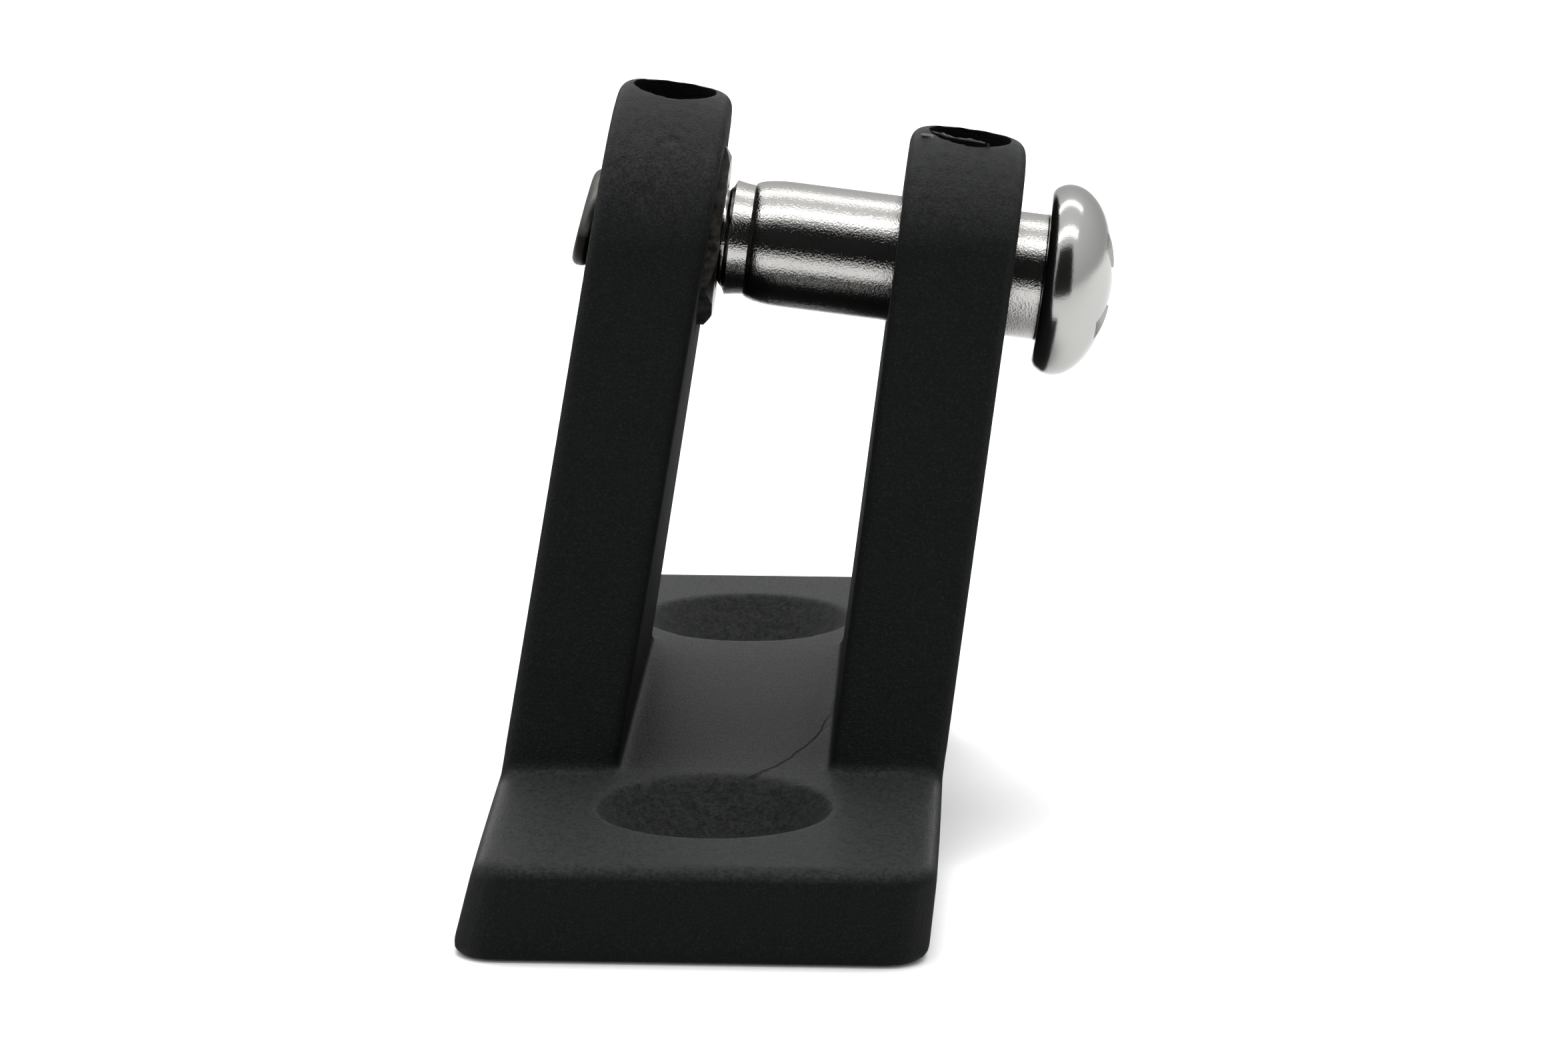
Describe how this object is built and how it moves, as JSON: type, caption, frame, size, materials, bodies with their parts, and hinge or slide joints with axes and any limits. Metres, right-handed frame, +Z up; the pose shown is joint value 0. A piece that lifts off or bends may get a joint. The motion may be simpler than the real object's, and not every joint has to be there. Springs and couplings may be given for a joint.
{
  "type": "angled deck hinge",
  "caption": "Black nylon deck hinge with a screw-down base and two leaning ears, crossed by a stainless shoulder screw that threads into a captive hex nut.",
  "frame": {"origin": "centre of the base's underside, which rests on the deck", "axes": "+Z up out of the deck, +Y along the base's length, +X towards the screw's head, the side the ears lean to"},
  "size_m": [0.0309, 0.0632, 0.0365],
  "materials": {
    "black_nylon": "fine moulded grain, satin black",
    "stainless_screw": "polished stainless steel",
    "stainless_nut": "machined stainless steel, tarnished"
  },
  "bodies": {
    "hinge": {"hinge_body": "black_nylon", "hex_nut": "stainless_nut"},
    "screw": {"pivot_screw": "stainless_screw"}
  },
  "joints": [
    {"name": "screw_withdraw", "type": "slide", "parent": "hinge", "child": "screw", "axis": [0.993, 0, -0.1184], "range_m": [0, 0.0235]}
  ]
}
